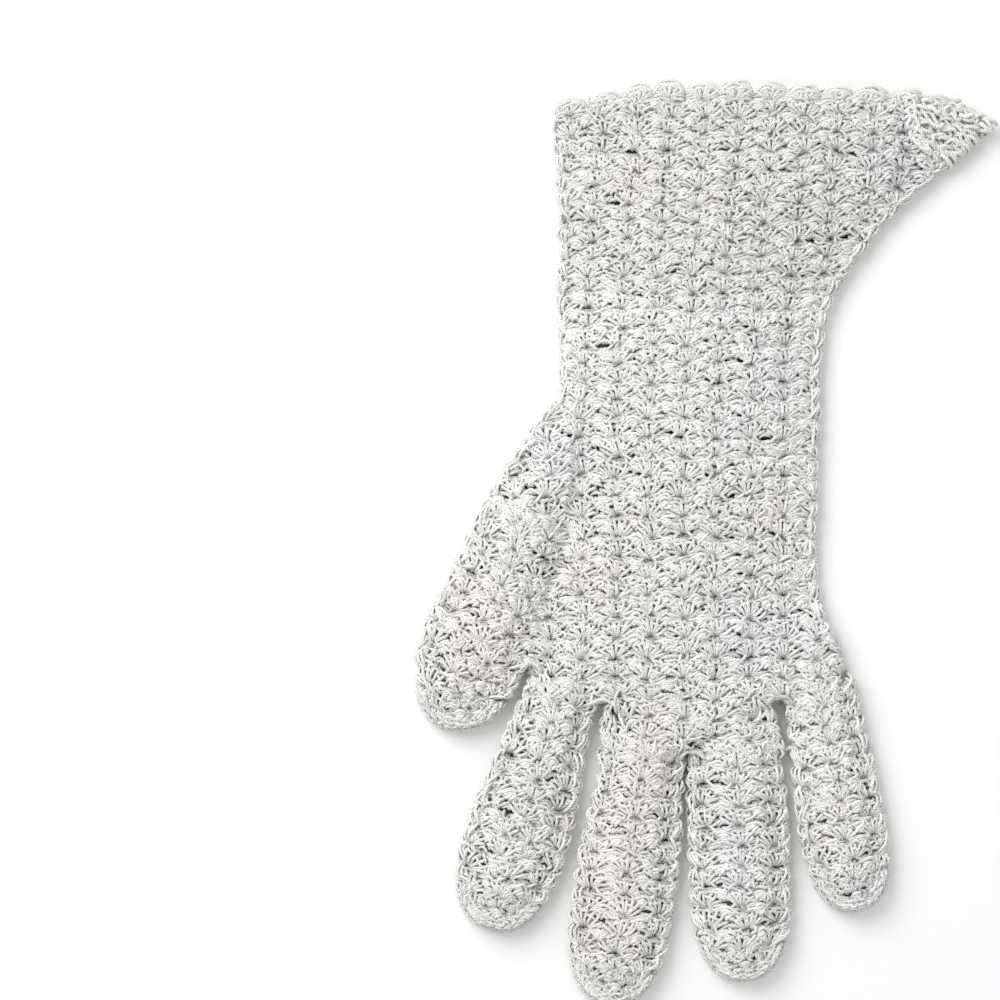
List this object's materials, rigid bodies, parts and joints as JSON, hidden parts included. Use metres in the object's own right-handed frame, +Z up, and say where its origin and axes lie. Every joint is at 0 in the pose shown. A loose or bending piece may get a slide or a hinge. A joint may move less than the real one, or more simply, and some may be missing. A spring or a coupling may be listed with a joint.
{
  "type": "crochet gauntlet glove",
  "caption": "Hollow crocheted cotton glove with a flared gauntlet cuff and scalloped edge, lying flat with fingers spread",
  "frame": {"origin": "under the middle of the glove's box, on the surface it lies on", "axes": "+Z up off the surface, +Y towards the cuff, -Y towards the fingertips, thumb towards -X"},
  "size_m": [0.1606, 0.2582, 0.0106],
  "materials": {
    "cuff_cotton": "matt twisted cotton thread in shell stitch",
    "edging_cotton": "matt twisted cotton thread in scallops",
    "hand_cotton": "matt twisted cotton thread in shell stitch",
    "finger_cotton": "matt twisted cotton thread in shell stitch",
    "tip_cotton": "matt twisted cotton thread in plain rounds"
  },
  "bodies": {
    "root": {"cuff": "cuff_cotton", "cuff_edging": "edging_cotton", "hand": "hand_cotton", "thumb_gusset": "hand_cotton", "index_finger": "finger_cotton", "index_tip": "tip_cotton", "middle_finger": "finger_cotton", "middle_tip": "tip_cotton", "ring_finger": "finger_cotton", "ring_tip": "tip_cotton", "little_finger": "finger_cotton", "little_tip": "tip_cotton", "thumb": "finger_cotton", "thumb_tip": "tip_cotton"}
  },
  "joints": []
}
